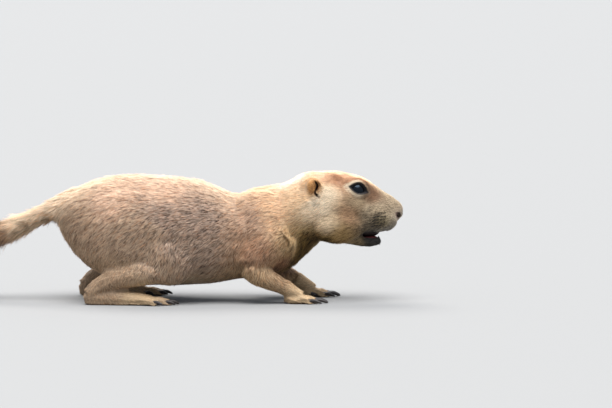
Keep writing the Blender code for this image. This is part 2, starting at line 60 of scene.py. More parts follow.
# The face. A lid opening has a length, a height above its line and one below
EYE = np.array([81.6, 12.3, 77.6])
EYE_RADIUS = 6.4
EYE_TURN_FORWARD, EYE_TURN_UP = 14, 12
EYE_TILT = 17
EYE_OPENING = (12.9, 4.8, -3.6)       # the edge of the lids
EYE_MARGIN = (15.4, 5.3, -4.1)        # the edge of the bare dark skin round them
LID_LIFT = 0.45                       # the lids stand this much off the eyeball
BEHIND_LIDS = 0.9                     # the skin in the opening lies this deep in the eyeball
EAR_X = 53.4
EAR_SLIT = [(52.9, 84.0), (54.1, 81.6), (53.6, 79.2), (52.7, 76.8), (53.6, 75.0), (55.6, 74.2)]
SLIT_DEPTH = 2.6
NOSTRIL = np.array([110.0, 6.4, 60.4])

# Rounded fillers on the left side, each with its middle and half sizes
EAR_FOLD = ((56.2, 20.7, 78.3), (1.9, 1.7, 3.6))
NECK_FOLD = [((37.8, 22, 42.5), (3.8, 4.6, 7)), ((35.6, 25.4, 41.5), (4.0, 5.0, 5.4))]

# The mouth: middles and half sizes, then an incisor's root, its tip and its half width on the left side
TONGUE = ((89.6, 0, 43.7), (6.8, 3.8, 1.9))
PALATE = ((88.4, 0, 48.4), (9.4, 5.8, 4.4))
UPPER_INCISOR = ((100.2, 0.95, 54), (98.6, 0.85, 49.4), 0.92)
LOWER_INCISOR = ((93.0, 0.85, 40.4), (95.2, 0.8, 43.8), 0.8)

# The tail, with the half widths and heights of its plain core at shares of its length
TAIL_ROOT = (-110, 72.8)
TAIL_LENGTH, TAIL_DROOP = 92, 25
TAIL_SWING, TAIL_SAG = 13, 1.5
BRUSH_FRONT = -134                    # the brush's locks all stand behind this
CORE_SHARES = (0, 0.15, 0.32, 0.5, 0.68, 0.84, 0.97)
CORE_WIDTHS = (11, 11, 9.6, 8.0, 6.6, 5.4, 3.0)
CORE_HEIGHTS = (9, 8.8, 7.4, 6.2, 5.2, 4.2, 2.4)

# The feet. A toe has its place across the foot, then x at its root and at its tip
FOREFOOT_Y, HINDFOOT_Y = 27.2, 37.5
STEP_AHEAD = {"right": 0, "left": 9}
HIND_STEP = {"right": 0, "left": -7}
FORE_TOES = [(-6.1, 40.5, 49.5), (-2.1, 42, 53.0), (2.1, 42, 53.0), (6.1, 40.5, 49.0)]
HIND_TOES = [(-7.6, -68, -60.5), (-4.0, -62, -51.0), (0, -61, -48.0), (4.0, -62, -50.5), (7.6, -67, -58.5)]

# The coat's tufts
COVER = 5.35                          # how many hairs lie over each other
HAIRS_IN_CLUMP = 5
SHORTEST_BESIDE_SKIN = 1.6            # a tuft in a narrow gap is no shorter than this
LOWEST = 0.25                         # no tuft hangs below this
# A tuft's root is darker than its tip: partly the hair's own darker base, partly painted shade deep in the
# coat
ROOT_FROM_DARK, ROOT_FROM_TIP = 0.36, 0.24      # what a root takes of the dark hair's colour and its tip's
RUSTY_HAIRS = 0.14
PATCH = 0.003                         # each tuft's share of its piece's map

# The camera looks at the middle of the photo's frame, from so many metres away
CAMERA_AWAY = 3.0
CAMERA_RISE = math.radians(4)
SENSOR, LENS = 36, 252
MIDDLE_X, MIDDLE_Z = 46.2, 67.2

# Where the coat lies: a place on the left side, the way the hair points, its length and its lift in degrees
NOSE_LIE = [
    ((112, 2, 67), (-1, 0.05, 0.3), 1.5, 13),
    ((108, 8, 66), (-1, 0.2, 0.1), 1.5, 13),
    ((111, 3, 57), (-0.5, 0.4, -0.8), 1.4, 12),
    ((106, 0, 74), (-1, 0, 0.35), 1.8, 12),
    ((102, 10, 66), (-1, 0.1, 0.0), 2, 9),
    ((101, 13, 56), (-0.95, 0.1, -0.3), 2.4, 11),
    ((104, 8, 50.5), (-0.9, 0.1, -0.4), 1.6, 10),
    ((96, 13, 50), (-0.9, 0.1, -0.45), 2.6, 11),
    ((94, 0, 82), (-1, 0, 0.55), 2.6, 10),
    ((92, 13, 74), (-1, 0.15, 0.05), 2.2, 9),
]
HEAD_LIE = [
    ((90, 15, 66), (-1, 0.1, -0.25), 2.8, 10),
    ((84, 18, 69.5), (-0.97, 0.1, -0.3), 2, 9),
    ((88, 15, 62), (-1, 0.1, -0.2), 3.4, 11),
    ((84, 8, 87), (-1, 0.1, 0.25), 2.6, 10),
    ((78, 15, 85), (-1, 0.2, -0.05), 2.2, 9),
    ((72, 19, 79), (-1, 0.1, -0.1), 2.8, 10),
    ((70, 0, 91), (-1, 0, 0.02), 4.2, 11),
    ((68, 14, 86), (-1, 0.1, -0.1), 3.8, 11),
    ((74, 22, 65), (-1, 0.05, -0.2), 4.6, 12),
    ((66, 25, 58), (-1, 0, -0.25), 5, 12),
    ((62, 22, 77), (-0.9, 0.1, -0.35), 2.7, 10),
    ((57, 24, 70), (-0.75, 0, -0.65), 4.2, 12),
    ((50, 24, 70), (-0.95, 0, -0.3), 4.3, 12),
    ((54, 23, 80), (-0.6, 0.1, 0.8), 1.3, 14),
    ((48, 22, 82), (-0.9, 0.1, 0.25), 2.5, 11),
    ((54, 8, 90), (-1, 0, -0.05), 4.7, 12),
    ((44, 20, 80), (-1, 0, -0.1), 4.6, 12),
    ((70, 20, 48), (-1, 0, -0.3), 5, 13),
]
JAW_LIE = [
    ((82, 10, 41), (-1, 0.05, -0.12), 3.4, 11),
    ((84, 0, 37), (-1, 0, 0), 3.6, 11),
    ((95, 5, 42), (-0.9, 0.15, -0.35), 1.8, 9),
    ((97, 0, 39), (-0.9, 0, -0.4), 2, 9),
    ((60, 0, 41), (-1, 0, -0.1), 4.6, 13),
]
NECK_AND_CHEST_LIE = [
    ((48, 20, 52), (-0.95, 0, -0.35), 5.4, 15),
    ((44, 14, 38), (-0.9, 0, -0.45), 5.7, 17),
    ((35, 0, 27), (-0.95, 0, -0.4), 5.7, 16),
    ((25, 0, 83), (-1, 0, -0.05), 5, 13),
    ((28, 26, 65), (-0.95, 0, -0.35), 5.4, 14),
    ((30, 26, 48), (-0.8, 0, -0.6), 5.7, 16),
    ((2, 0, 76), (-1, 0, 0.02), 5.4, 13),
    ((12, 33, 62), (-0.85, 0, -0.5), 5.4, 14),
    ((14, 38, 42), (-0.6, 0, -0.8), 5.4, 14),
    ((10, 37, 26), (-0.3, 0, -0.95), 4.4, 13),
    ((30, 16, 22), (-0.5, 0, -0.85), 5.4, 15),
]
BODY_LIE = [
    ((-30, 0, 85), (-1, 0, 0.1), 5.7, 12),
    ((-25, 36, 62), (-0.93, 0, -0.35), 5.7, 14),
    ((-25, 38, 38), (-0.85, 0, -0.5), 5.7, 15),
    ((-20, 30, 20), (-0.9, 0, -0.4), 4.3, 14),
    ((-60, 0, 88), (-1, 0, 0), 6, 12),
    ((-60, 36, 72), (-0.93, 0, -0.3), 6, 13),
    ((-70, 44, 52), (-0.78, 0, -0.6), 6, 14),
    ((-52, 46, 34), (-0.35, 0, -0.92), 5, 13),
    ((-60, 20, 12), (-1, 0, -0.1), 5.4, 12),
    ((-104, 0, 84), (-0.95, 0, -0.3), 6, 12),
    ((-108, 30, 62), (-0.75, 0, -0.65), 6, 14),
    ((-112, 30, 38), (-0.4, 0, -0.9), 5.7, 14),
    ((-120, 10, 50), (-0.35, 0, -0.95), 5.4, 14),
]
TAIL_LIE = [
    ((-122, 0, 74), (-0.93, 0, -0.38), 6.4, 12),
    ((-132, 2, 62), (-0.92, 0.08, -0.42), 8, 12),
    ((-150, 4, 53), (-0.91, 0.12, -0.42), 12, 18),
    ((-176, 8, 41), (-0.90, 0.18, -0.43), 16, 17),
    ((-192, 12, 33), (-0.90, 0.22, -0.43), 18, 10),
]
LEG_LIE = [
    ((8, 30, 24), (0.1, 0, -1), 3, 12),
    ((22, 30, 15), (0.75, 0, -0.65), 3, 12),
    ((38, 28, 8), (0.95, 0, -0.3), 2.2, 11),
    ((50, 28, 3), (1, 0, -0.2), 1.8, 10),
    ((-75, 40, 22), (-0.5, 0, -0.85), 3, 12),
    ((-98, 37, 16), (-0.3, 0, -0.95), 2.7, 12),
    ((-104, 36, 8), (-0.1, 0, -1), 1.9, 11),
    ((-85, 37, 9), (0.7, 0, -0.7), 2.4, 11),
    ((-70, 38, 7), (0.95, 0, -0.3), 2.2, 11),
    ((-56, 38, 3), (1, 0, -0.2), 1.8, 10),
]
LIE = NOSE_LIE + HEAD_LIE + JAW_LIE + NECK_AND_CHEST_LIE + BODY_LIE + TAIL_LIE + LEG_LIE

# The named coats: the light and the dark hair's colours, the share of dark hairs, places on the left side
COATS = {
    "back": ((222, 196, 168), (150, 112, 86), 0.14, [(-50, 0, 88), (-14, 0, 78)]),
    "rump top": ((236, 208, 176), (176, 136, 104), 0.09, [(-105, 0, 84), (-128, 2, 70)]),
    "nape": ((250, 234, 214), (206, 168, 134), 0.06, [(40, 5, 86)]),
    "neck top": ((234, 196, 158), (176, 130, 96), 0.10, [(15, 0, 80)]),
    "saddle": ((230, 194, 164), (140, 102, 80), 0.18, [(-50, 28, 79), (-88, 34, 72)]),
    "shoulder": ((228, 190, 160), (114, 84, 66), 0.28, [(12, 34, 62)]),
    "neck side": ((248, 206, 164), (154, 108, 80), 0.15, [(25, 27, 66)]),
    # The flanks are darker: partly their own dark-tipped grizzled hair, partly painted shade on the body's
    # lower sides
    "flank": ((196, 168, 146), (76, 60, 52), 0.38, [(-24, 37, 60), (-50, 38, 62)]),
    "low flank": ((200, 172, 148), (82, 66, 56), 0.37, [(-26, 40, 38), (-44, 44, 42)]),
    "thigh": ((208, 178, 148), (94, 74, 62), 0.33, [(-75, 45, 50), (-58, 45, 52), (-52, 46, 30)]),
    "rump": ((214, 182, 150), (104, 80, 66), 0.30, [(-108, 32, 56), (-118, 14, 40)]),
    "belly": ((216, 192, 162), (150, 120, 92), 0.15, [(-40, 18, 14)]),
    "chest": ((192, 150, 118), (84, 60, 46), 0.32, [(12, 38, 38), (30, 20, 28)]),
    # painted shade: the throat's very dark hairs stand for the shade in the fold under the jaw, over its own
    # yellowish-brown hair
    "throat": ((146, 116, 64), (30, 22, 12), 0.54, [(49, 16, 44), (64, 16, 43), (44, 8, 33)]),
    "chest front": ((236, 202, 152), (120, 88, 54), 0.26, [(35, 20, 43)]),
    "under throat": ((190, 168, 126), (90, 74, 50), 0.30, [(56, 0, 38)]),
    "crown": ((254, 214, 176), (196, 140, 102), 0.12,
              [(62, 0, 91), (90, 0, 85), (60, 11, 89.5), (72, 7, 90.5), (82, 7, 88.5)]),
    "brow": ((176, 122, 84), (112, 68, 44), 0.38, [(70, 12, 87), (82, 13, 85.5)]),
    "brow fade": ((212, 164, 126), (150, 102, 72), 0.26, [(64.5, 12.5, 87.5), (77, 9.5, 89)]),
    "stripe": ((146, 110, 82), (88, 62, 44), 0.40, [(90, 14, 78), (94, 12, 75)]),
    "cheek cream": ((254, 230, 196), (200, 168, 134), 0.10, [(58, 25, 66), (62, 23, 77)]),
    "under eye": ((186, 160, 126), (114, 94, 70), 0.30, [(83, 18, 70)]),
    "cheek": ((236, 208, 170), (150, 120, 92), 0.20, [(64, 25, 56)]),
    "cheek patch": ((180, 142, 106), (112, 84, 62), 0.36, [(78, 20, 62)]),
    "muzzle": ((212, 188, 154), (104, 86, 66), 0.34,
               [(98, 12, 65), (90, 15, 64), (102, 0, 77), (110, 4, 69)]),
    "lip pad": ((164, 146, 112), (80, 68, 52), 0.36, [(100, 13, 56)]),
    "upper lip": ((176, 168, 156), (84, 80, 76), 0.38, [(102, 9, 50)]),
    "nose front": ((222, 206, 184), (160, 140, 120), 0.15, [(114, 0, 61), (111, 3, 55)]),
    "jaw": ((200, 162, 106), (106, 80, 48), 0.28, [(72, 19, 49)]),
    "lower jaw": ((166, 142, 106), (74, 62, 44), 0.35, [(84, 10, 42)]),
    "chin": ((82, 78, 72), (32, 31, 30), 0.42, [(96, 3, 40), (92, 6, 44)]),
    "ear": ((230, 170, 104), (150, 100, 58), 0.20, [(51, 23, 80)]),
    "behind the ear": ((240, 206, 168), (176, 136, 100), 0.12, [(45, 22, 80)]),
    "below the ear": ((240, 220, 190), (170, 148, 122), 0.16, [(55, 23, 71)]),
    "foreleg": ((218, 184, 142), (114, 86, 62), 0.28, [(13, 31, 20)]),
    "foot": ((222, 194, 154), (166, 130, 94), 0.10, [(45, 28, 4), (-70, 38, 5)]),
    "hind leg": ((208, 176, 142), (104, 80, 62), 0.28, [(-85, 38, 18)]),
    "tail": ((252, 222, 186), (160, 122, 92), 0.14, [(-148, 4, 54)]),
    "tail fade": ((180, 142, 112), (82, 62, 48), 0.35, [(-163, 6, 46.5)]),
    "tail end": ((110, 84, 64), (44, 36, 30), 0.50, [(-176, 8, 41)]),
    "tail tip": ((44, 36, 32), (22, 18, 16), 0.60, [(-192, 12, 33)]),
}
MARKINGS = [(place, light, dark, share) for light, dark, share, places in COATS.values() for place in places]


def linear(levels):
    """Colours given from 0 to 255, turned into linear light."""
    values = np.array(levels, float) / 255
    return np.where(values <= 0.04045, values / 12.92, ((values + 0.055) / 1.055) ** 2.4)


# The other colours
RUST_SHARE = np.array([0.98, 0.72, 0.55])      # what a rusty hair keeps of the light hair's colour
EYE_RING = linear((222, 198, 166))
LIP = linear((74, 66, 60))
# painted shade: the inside of the mouth is painted near black
MOUTH_SHADE = linear((36, 18, 16))
LID = linear((20, 17, 17))
NOSE_LEATHER = linear((112, 92, 80))
# painted shade in the nostril openings; the same dark also marks the whisker pores, which is their own
# colour
NOSTRIL_SHADE_AND_WHISKER_DOTS = linear((24, 17, 15))
# painted shade in the cut slit of each ear
EAR_SLIT_SHADE = linear((40, 26, 18))
SOLE = linear((70, 52, 44))
HORN = linear((52, 44, 40))
EYE_COLOUR = (0.004, 0.004, 0.005)
EYE_GLINT = (0.55, 0.78, 1, 1)
LID_RIM_COLOUR = (0.008, 0.007, 0.007)
TONGUE_COLOUR = (0.14, 0.022, 0.02)
ENAMEL = (0.60, 0.47, 0.27)
WHISKER_COLOUR = (0.012, 0.010, 0.009)
FLOOR_COLOUR = (0.215, 0.211, 0.203)


# Plain helpers
def unit(vectors):
    """Vectors made one long."""
    vectors = np.asarray(vectors, float)
    return vectors / np.maximum(np.linalg.norm(vectors, axis=-1, keepdims=True), 1e-9)


def blend(low, high, values):
    """0 below low, 1 above high, with a soft rise between."""
    t = np.clip((values - low) / (high - low), 0, 1)
    return t * t * (3 - 2 * t)


def mixed(colours, colour, share):
    """Colours with a share of another colour laid over each."""
    share = np.asarray(share)[:, None]
    return colours * (1 - share) + colour * share


def mirrored(place, side):
    """A place on the left side as it is on the given side."""
    return np.array(place, float) * (1, side, 1)


def ripple(points, wavelength, seed, waves=10):
    """A smooth irregular field from about -1 to 1 that changes over a wavelength in millimetres."""
    rng = np.random.default_rng(seed)
    total = np.zeros(len(points))
    for _ in range(waves):
        direction = unit(rng.normal(size=3)) * 2 * math.pi / (wavelength * rng.uniform(0.7, 1.5))
        total += np.sin(points @ direction + rng.uniform(0, 2 * math.pi))
    return total / math.sqrt(waves)


def curve(points, steps):
    """A smooth line through points, with that many steps between neighbours."""
    points = [np.array(p, float) for p in points]
    last = len(points) - 1
    found = []
    for i in range(last):
        before, a, b, after = points[max(0, i - 1)], points[i], points[i + 1], points[min(last, i + 2)]
        for k in range(steps):
            t = k / steps
            found.append(0.5 * (2 * a + (b - before) * t + (2 * before - 5 * a + 4 * b - after) * t ** 2
                                + (3 * a - before - 3 * b + after) * t ** 3))
    found.append(points[-1])
    return np.array(found)


def tube(path, widths, heights, up=(0, 0, 1), count=10, loop=False):
    """A tube along a path, with half widths across it and half heights towards up, closed at both ends."""
    path = np.array(path, float)
    if loop:
        along = unit(np.roll(path, -1, axis=0) - np.roll(path, 1, axis=0))
    else:
        along = unit(np.gradient(path, axis=0))
    side = unit(np.cross(along, np.broadcast_to(up, path.shape)))
    lift = np.cross(side, along)
    turns = 2 * math.pi * np.arange(count) / count
    across = side[:, None] * (np.asarray(widths)[:, None] * np.cos(turns))[..., None]
    upward = lift[:, None] * (np.asarray(heights)[:, None] * np.sin(turns))[..., None]
    points = (path[:, None] + across + upward).reshape(-1, 3)
    rings = len(path)
    faces = []
    for ring in range(rings if loop else rings - 1):
        low, high = ring * count, (ring + 1) % rings * count
        for k in range(count):
            after = (k + 1) % count
            faces.append((low + k, low + after, high + after, high + k))
    if not loop:
        faces.append(tuple(reversed(range(count))))
        faces.append(tuple(range((rings - 1) * count, rings * count)))
    return points, faces


def ball(centre, radii, segments=24, rings=14):
    """A ball stretched to three half sizes, as points and faces."""
    made = bmesh.new()
    bmesh.ops.create_uvsphere(made, u_segments=segments, v_segments=rings, radius=1)
    points = np.array([v.co for v in made.verts]) * np.array(radii, float)
    faces = [tuple(v.index for v in f.verts) for f in made.faces]
    made.free()
    return points + np.array(centre, float), faces


def joined(parts):
    """Several pairs of points and faces as one pair."""
    points, faces, first = [], [], 0
    for part_points, part_faces in parts:
        points.append(part_points)
        faces += [tuple(i + first for i in face) for face in part_faces]
        first += len(part_points)
    return np.concatenate(points), faces


def to_frame(points):
    """Drafting millimetres to metres in the frame."""
    return (np.asarray(points, float) + (SHIFT, 0, 0)) * MM


# Meshes and objects
def linked(name, mesh):
    """A new object in the scene that shows a mesh."""
    obj = bpy.data.objects.new(name, mesh)
    bpy.context.scene.collection.objects.link(obj)
    return obj


def new_object(name, points, faces):
    """An object from drafting points, with faces whose sides all turn outwards."""
    mesh = bpy.data.meshes.new(name)
    mesh.from_pydata([tuple(p) for p in to_frame(points)], [], faces)
    made = bmesh.new()
    made.from_mesh(mesh)
    bmesh.ops.recalc_face_normals(made, faces=made.faces)
    made.to_mesh(mesh)
    made.free()
    mesh.shade_smooth()
    return linked(name, mesh)


def evaluated(obj):
    """The mesh that an object's modifiers give."""
    bpy.context.view_layer.update()
    graph = bpy.context.evaluated_depsgraph_get()
    return bpy.data.meshes.new_from_object(obj.evaluated_get(graph))


def read_points(mesh):
    """A mesh's points in drafting millimetres."""
    found = np.empty(len(mesh.vertices) * 3, np.float32)
    mesh.vertices.foreach_get("co", found)
    return found.reshape(-1, 3).astype(float) / MM - (SHIFT, 0, 0)


def write_points(mesh, points):
    """Moves a mesh's points to places in drafting millimetres."""
    mesh.vertices.foreach_set("co", to_frame(points).astype(np.float32).ravel())
    mesh.update()


def read_normals(mesh):
    """The way out of a mesh at each of its points."""
    found = np.empty(len(mesh.vertices) * 3, np.float32)
    mesh.vertex_normals.foreach_get("vector", found)
    return found.reshape(-1, 3).astype(float)


def read_edges(mesh):
    """The numbers of the two points of each edge, as two rows."""
    found = np.empty(len(mesh.edges) * 2, np.int32)
    mesh.edges.foreach_get("vertices", found)
    return found.reshape(-1, 2).T


def read_triangles(mesh):
    """The numbers of the three points of each triangle."""
    mesh.calc_loop_triangles()
    found = np.empty(len(mesh.loop_triangles) * 3, np.int32)
    mesh.loop_triangles.foreach_get("vertices", found)
    return found.reshape(-1, 3)


def search_tree(mesh):
    """A mesh's triangles in drafting millimetres, ready for rays and nearest places."""
    points, triangles = read_points(mesh), read_triangles(mesh)
    return BVHTree.FromPolygons([tuple(p) for p in points], [tuple(t) for t in triangles.tolist()])


def paint_points(mesh, colours):
    """Stores a colour for every point of a mesh."""
    layer = mesh.color_attributes.new("coat", "FLOAT_COLOR", "POINT")
    rgba = np.ones((len(colours), 4), np.float32)
    rgba[:, :3] = colours
    layer.data.foreach_set("color", rgba.ravel())


def soften(mesh, strength, rounds):
    """Smooths a mesh without shrinking it. strength is given for each point, from 0 to 1."""
    a, b = read_edges(mesh)
    points = read_points(mesh)
    count = np.bincount(a, minlength=len(points)) + np.bincount(b, minlength=len(points))
    for _ in range(rounds):
        for share in (DRAW_IN, PUSH_OUT):
            mean = np.empty_like(points)
            for axis in range(3):
                column = points[:, axis]
                mean[:, axis] = (np.bincount(a, column[b], len(points))
                                 + np.bincount(b, column[a], len(points))) / count
            points += (mean - points) * (share * strength)[:, None]
    write_points(mesh, points)


def spread(values, edges, rounds):
    """Lets values soak into the neighbouring points."""
    a, b = edges
    count = np.bincount(a, minlength=len(values)) + np.bincount(b, minlength=len(values))
    for _ in range(rounds):
        around = (np.bincount(a, values[b], len(values)) + np.bincount(b, values[a], len(values))) / count
        values = 0.4 * values + 0.6 * around
    return values


def show(obj, finish, slot, *nodes):
    """Gives a piece its finish, puts it on the body, and hides the solids that it stands for."""
    obj.data.materials.clear()
    obj.data.materials.append(finish)
    if nodes:
        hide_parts(*nodes)
    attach(obj, "root")


# The eye, the ear, the claws and the whiskers' places, which the skin and the coat leave room for
def eye_axes(side):
    """The eye's own forward, outward and upward directions, as the columns of a matrix."""
    turn = Matrix.Rotation(math.radians(-EYE_TURN_FORWARD * side), 3, "Z")
    turn = turn @ Matrix.Rotation(math.radians(EYE_TURN_UP * side), 3, "X")
    return np.array(turn) @ np.diag([1, side, 1])


def almond(t, rise):
    """How high an almond's edge stands at a share of its length."""
    return rise * np.sin(math.pi * np.clip(t, 0, 1)) ** 0.85


def almond_outline(shape, count):
    """An almond's edge on a flat plate in front of the eye: along, and above it."""
    length, rise, drop = shape
    t = np.arange(count) / count
    upper = np.stack([(t - 0.5) * length, almond(t, rise)], axis=1)
    lower = np.stack([(0.5 - t) * length, almond(1 - t, drop)], axis=1)
    return np.concatenate([upper, lower])


def to_almond_plane(points, side):
    """Where points lie as seen along the eye's axis: along the almond, above it, and outwards."""
    local = (points - mirrored(EYE, side)) @ eye_axes(side)
    tilt = math.radians(EYE_TILT)
    along = local[:, 0] * math.cos(tilt) - local[:, 2] * math.sin(tilt)
    above = local[:, 0] * math.sin(tilt) + local[:, 2] * math.cos(tilt)
    return along, above, local[:, 1]


def from_almond_plane(along, above, outward, side):
    """The places that to_almond_plane would give these values for."""
    tilt = math.radians(EYE_TILT)
    x = along * math.cos(tilt) + above * math.sin(tilt)
    z = above * math.cos(tilt) - along * math.sin(tilt)
    return np.stack([x, outward, z], axis=-1) @ eye_axes(side).T + mirrored(EYE, side)


def distance_from_almond(along, above, shape):
    """About how far a point lies outside an almond, below 0 inside it."""
    length, rise, drop = shape
    gaps = np.full(len(along), 1e9)
    for x, z in almond_outline(shape, 60):
        gaps = np.minimum(gaps, (along - x) ** 2 + (above - z) ** 2)
    t = along / length + 0.5
    inside = (t > 0) & (t < 1) & (above < almond(t, rise)) & (above > almond(t, drop))
    return np.sqrt(gaps) * np.where(inside, -1, 1)


def eye_gap(points):
    """How far each point lies outside the dark skin round the nearer eye, along the surface."""
    found = np.full(len(points), FAR)
    for side in SIDES.values():
        near = np.nonzero(np.linalg.norm(points - mirrored(EYE, side), axis=1) < 14)[0]
        along, above, outward = to_almond_plane(points[near], side)
        gap = distance_from_almond(along, above, EYE_MARGIN)
        found[near] = np.where(outward > 0, np.minimum(found[near], gap), found[near])
    return found


def slit_gap(points):
    """How far each point lies from the slit of the ear, as seen from the side."""
    found = np.full(len(points), FAR)
    beside = (np.abs(points[:, 1]) > 14) & (np.abs(points[:, 0] - EAR_X) < 8) & (points[:, 2] > 68)
    near = np.nonzero(beside)[0]
    for x, z in curve(EAR_SLIT, 5):
        gap = np.hypot(points[near, 0] - x, points[near, 2] - z)
        found[near] = np.minimum(found[near], gap)
    return found


def claw_path(root, tip, radius, length, drop):
    """The middle line of a claw that grows from the end of a toe, as in the solids."""
    root, tip = np.array(root, float), np.array(tip, float)
    along = unit((tip - root) * (1, 1, 0))
    start = tip - along * 0.6 + (0, 0, radius * 0.25)
    return curve([start, start + along * length * 0.45 + (0, 0, 0.1),
                  start + along * length * 0.8 - (0, 0, drop * 0.45),
                  start + along * (length + 0.6) - (0, 0, drop)], 5)


def claw_lines():
    """The middle lines of all the claws."""
    lines = []
    for name, side in SIDES.items():
        ahead, hind = STEP_AHEAD[name], HIND_STEP[name]
        for offset, root_x, tip_x in FORE_TOES:
            root = (root_x + ahead, side * (FOREFOOT_Y + offset * 0.86), 3.6)
            tip = (tip_x + ahead, side * (FOREFOOT_Y + offset * 1.22), 1.8)
            lines.append(claw_path(root, tip, 2.35, 8.5, 1.6))
        root = (36 + ahead, side * (FOREFOOT_Y - 6.0), 3.6)
        tip = (41 + ahead, side * (FOREFOOT_Y - 7.6), 1.8)
        lines.append(claw_path(root, tip, 1.9, 3.5, 0.8))
        for offset, root_x, tip_x in HIND_TOES:
            root = (root_x + hind, side * (HINDFOOT_Y + 0.6 + offset * 0.84), 3.4)
            tip = (tip_x + hind, side * (HINDFOOT_Y + 1.2 + offset * 1.2), 1.8)
            lines.append(claw_path(root, tip, 2.4, 6.5, 1.5))
    return lines


def claw_gap(points):
    """How far each point lies from the middle line of the nearest claw."""
    found = np.full(len(points), FAR)
    near = np.nonzero(points[:, 2] < 8)[0]
    for path in claw_lines():
        for place in path:
            found[near] = np.minimum(found[near], np.linalg.norm(points[near] - place, axis=1))
    return found


def place_whiskers(tree):
    """Where the whiskers grow on the lip pads: place, way out of the skin, side, and step along the row."""
    rng = np.random.default_rng(23)
    found = []
    for side in SIDES.values():
        for row in range(5):
            for k in range(4):
                x = 103.2 - 2.3 * k - 0.5 * row + rng.uniform(-0.4, 0.4)
                z = 63.0 - 2.3 * row - 0.45 * k + rng.uniform(-0.3, 0.3)
                place, normal, _, _ = tree.find_nearest(Vector((x, side * 15, z)))
                found.append((np.array(place), np.array(normal), side, k))
    return found


def whisker_gap(points, whisker_places):
    """How far each point lies from the nearest whisker's root."""
    found = np.full(len(points), FAR)
    near = np.nonzero(points[:, 0] > 85)[0]
    for place, _, _, _ in whisker_places:
        found[near] = np.minimum(found[near], np.linalg.norm(points[near] - place, axis=1))
    return found


# The skin
def tail_point(t):
    """A point on the tail's middle line, from 0 at the root to 1 at the end."""
    reach = t * TAIL_LENGTH
    droop = math.radians(TAIL_DROOP)
    x, z = TAIL_ROOT
    return np.array([x - reach * math.cos(droop), TAIL_SWING * t ** 2,
                     z - reach * math.sin(droop) - TAIL_SAG * t ** 2])


def tail_core():
    """The tail under its brush, as points and faces."""
    steps = np.linspace(0, CORE_SHARES[-1], 12)
    return tube([tail_point(t) for t in steps], np.interp(steps, CORE_SHARES, CORE_WIDTHS),
                np.interp(steps, CORE_SHARES, CORE_HEIGHTS), count=24)


def keep_tail_root(part):
    """Cuts a mesh of the tail off in front of its brush, and closes the cut."""
    bmesh.ops.bisect_plane(part, geom=[*part.verts, *part.edges, *part.faces],
                           plane_co=to_frame((BRUSH_FRONT, 0, 0)), plane_no=(1, 0, 0), clear_inner=True)
    bmesh.ops.holes_fill(part, edges=[edge for edge in part.edges if edge.is_boundary])


def grown_solid(name, node):
    """A copy of a solid's mesh, a little larger all round, and of the tail only its root."""
    part = bmesh.new()
    part.from_mesh(node.data)
    if name == "tail":
        keep_tail_root(part)
    bmesh.ops.remove_doubles(part, verts=part.verts, dist=1e-6)
    part.normal_update()
    for vert in part.verts:
        vert.co += vert.normal * GROWTH * MM
    mesh = bpy.data.meshes.new("part")
    part.to_mesh(mesh)
    part.free()
    return mesh


def flesh_form():
    """All the solids of flesh as one form, with the eye sockets filled and a plain tail core."""
    made = bmesh.new()
    for name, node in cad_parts.items():
        if name.startswith("eye") or name == "tongue":
            continue
        mesh = grown_solid(name, node)
        made.from_mesh(mesh)
        bpy.data.meshes.remove(mesh)
    mesh = bpy.data.meshes.new("flesh")
    made.to_mesh(mesh)
    made.free()
    solids = read_points(mesh), [tuple(face.vertices) for face in mesh.polygons]
    fillers = []
    for side in SIDES.values():
        fillers.append(ball(mirrored(EYE, side), [EYE_RADIUS + 0.8] * 3))
        for place, half_sizes in (EAR_FOLD, *NECK_FOLD):
            fillers.append(ball(mirrored(place, side), half_sizes))
    return new_object("flesh", *joined([solids, tail_core(), *fillers]))


def coat_field(points, spots):
    """Blends the values of named spots, each by how near it is. Both sides of the body are alike."""
    places = np.array([spot[0] for spot in spots], float)
    values = np.array([np.hstack(spot[1:]) for spot in spots], float)
    points = points.copy()
    points[:, 1] = np.abs(points[:, 1])
    found = np.empty((len(points), values.shape[1]))
    for start in range(0, len(points), 20000):
        part = points[start:start + 20000]
        gaps = ((part[:, None] - places) ** 2).sum(2)
        weights = 1 / (gaps + 6) ** 2
        found[start:start + 20000] = weights @ values / weights.sum(1, keepdims=True)
    return found


def lie_of_coat(points, normals):
    """The coat's direction along the skin, its length and its lift, at each point."""
    found = coat_field(points, LIE)
    side = np.where(points[:, 1] < 0, -1, 1)
    way = found[:, :3] * np.stack([np.ones(len(points)), side, np.ones(len(points))], axis=1)
    way = unit(way - normals * (way * normals).sum(1, keepdims=True))
    return way, found[:, 3], np.radians(found[:, 4])


def coat_depth(points, normals):
    """How deep the skin lies under the tips of the coat. It is less at the brush, the eyes and the soles."""
    _, length, lift = lie_of_coat(points, normals)
    brush = 1 - blend(-155, -125, points[:, 0])
    depth = 0.1 + GROWTH * 0.7 + length * np.sin(lift) * 0.9 * (1 - 0.8 * brush)
    for side in SIDES.values():
        away = np.linalg.norm(points - mirrored(EYE, side), axis=1)
        depth *= 0.15 + 0.85 * blend(9, 14, away)
    return depth * blend(-0.2, 3.5, points[:, 2] + 1.2 * (normals[:, 2] > -0.5))


def carve_face(points):
    """Opens the lids onto the eyes, gives the lids their thickness, and cuts the slits of the ears."""
    for side in SIDES.values():
        centre = mirrored(EYE, side)
        along, above, outward = to_almond_plane(points, side)
        near = (np.linalg.norm(points - centre, axis=1) < EYE_RADIUS + 5) & (outward > 0)
        index = np.nonzero(near)[0]
        gap = distance_from_almond(along[index], above[index], EYE_OPENING)
        reach = np.linalg.norm(points[index] - centre, axis=1)
        lid = np.maximum(reach, EYE_RADIUS + LID_LIFT)
        share = blend(-0.7, 0.35, gap)
        wanted = (EYE_RADIUS - BEHIND_LIDS) * (1 - share) + lid * share
        points[index] = centre + unit(points[index] - centre) * wanted[:, None]
    points[:, 1] -= np.sign(points[:, 1]) * SLIT_DEPTH * (1 - blend(0.3, 1.35, slit_gap(points)))
    return points


